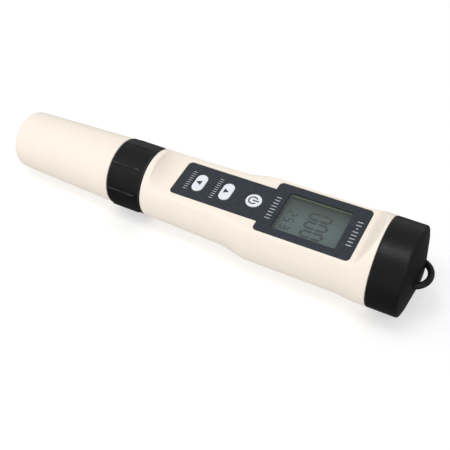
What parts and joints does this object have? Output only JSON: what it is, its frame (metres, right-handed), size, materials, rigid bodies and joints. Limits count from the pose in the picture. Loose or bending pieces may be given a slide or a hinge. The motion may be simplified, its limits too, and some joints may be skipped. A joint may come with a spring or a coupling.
{
  "type": "water test pen",
  "caption": "Pen-shaped water tester with a pull-off probe cap, ribbed collar, cream barrel with keys and display, and a screw-on battery cap with a lanyard eye.",
  "frame": {"origin": "centre of the pen's box at its lowest line, the underside of the battery cap", "axes": "+X along the pen towards the battery cap and lanyard eye, +Z out of the face with the display"},
  "size_m": [0.1926, 0.038, 0.038],
  "materials": {
    "cream_plastic": "fine satin",
    "black_plastic": "fine satin",
    "label_film": "fine matt film",
    "clear_pane": "clear",
    "display_glass": "satin",
    "black_foam": "foam",
    "white_plastic": "satin",
    "key_plastic": "fine grain",
    "switch_plastic": "satin",
    "elastomer": "soft",
    "board_laminate": "solder mask",
    "chip_resin": "moulded",
    "bright_steel": "nickel plated",
    "gold_plate": "plated",
    "clear_glass": "clear",
    "porous_ceramic": "porous",
    "seal_rubber": "smooth",
    "flat_flex": "film"
  },
  "bodies": {
    "pen_body": {"body_shell": "cream_plastic", "face_label": "label_film", "display_window": "clear_pane", "window_gasket": "black_foam", "lcd_glass": "display_glass", "lcd_backlight": "white_plastic", "lcd_holder": "white_plastic", "zebra_strips": "elastomer", "circuit_board": "board_laminate", "board_screws": "bright_steel", "processor_chip": "chip_resin", "amplifier_chip": "chip_resin", "quartz_crystal": "bright_steel", "tact_switches": "switch_plastic", "battery_tray": "white_plastic", "button_cells": "bright_steel", "battery_spring": "bright_steel", "battery_contacts": "bright_steel", "battery_terminals": "gold_plate", "probe_socket": "chip_resin", "ribbon_cable": "flat_flex"},
    "probe_module": {"probe_housing": "black_plastic", "glass_electrode": "clear_glass", "electrode_wire": "bright_steel", "reference_junction": "porous_ceramic", "temperature_pin": "bright_steel", "contact_pins": "gold_plate", "spigot_seal": "seal_rubber", "cap_seal": "seal_rubber"},
    "collar": {"collar_ring": "black_plastic"},
    "cap": {"probe_cap": "cream_plastic"},
    "battery_cap_carriage": {"battery_cap_seal": "seal_rubber"},
    "battery_closure": {"battery_cap": "black_plastic"},
    "mode_key": {"key_mode": "key_plastic", "mode_switch_plunger": "switch_plastic"},
    "hold_key": {"key_hold": "key_plastic", "hold_switch_plunger": "switch_plastic"},
    "power_key": {"key_power": "key_plastic", "power_switch_plunger": "switch_plastic"}
  },
  "joints": [
    {"name": "probe_module_slide", "type": "slide", "parent": "pen_body", "child": "probe_module", "axis": [-1, 0, 0], "range_m": [0, 0.01201]},
    {"name": "collar_unscrew", "type": "hinge", "parent": "probe_module", "child": "collar", "pos_m": [-0.0363, 0, 0.019], "axis": [-1, 0, 0], "range_deg": [0, 1440]},
    {"name": "probe_cap_pull", "type": "slide", "parent": "probe_module", "child": "cap", "axis": [-1, 0, 0], "range_m": [0, 0.05]},
    {"name": "battery_cap_slide", "type": "slide", "parent": "pen_body", "child": "battery_cap_carriage", "axis": [1, 0, 0], "range_m": [0, 0.01201]},
    {"name": "battery_cap_unscrew", "type": "hinge", "parent": "battery_cap_carriage", "child": "battery_closure", "pos_m": [0.08175, 0, 0.019], "axis": [1, 0, 0], "range_deg": [0, 1440]},
    {"name": "mode_key_press", "type": "slide", "parent": "pen_body", "child": "mode_key", "axis": [0.0196, 0, -0.9998], "range_m": [0, 0.0004], "stiffness_N_per_m": 1500, "springref_m": -0.0003},
    {"name": "hold_key_press", "type": "slide", "parent": "pen_body", "child": "hold_key", "axis": [0.0196, 0, -0.9998], "range_m": [0, 0.0004], "stiffness_N_per_m": 1500, "springref_m": -0.0003},
    {"name": "power_key_press", "type": "slide", "parent": "pen_body", "child": "power_key", "axis": [0.0196, 0, -0.9998], "range_m": [0, 0.0004], "stiffness_N_per_m": 1500, "springref_m": -0.0003}
  ],
  "couplings": [
    {"joint": "probe_module_slide", "follows": "collar_unscrew", "m_per_rad": 0.00047746},
    {"joint": "battery_cap_slide", "follows": "battery_cap_unscrew", "m_per_rad": 0.00047746}
  ]
}
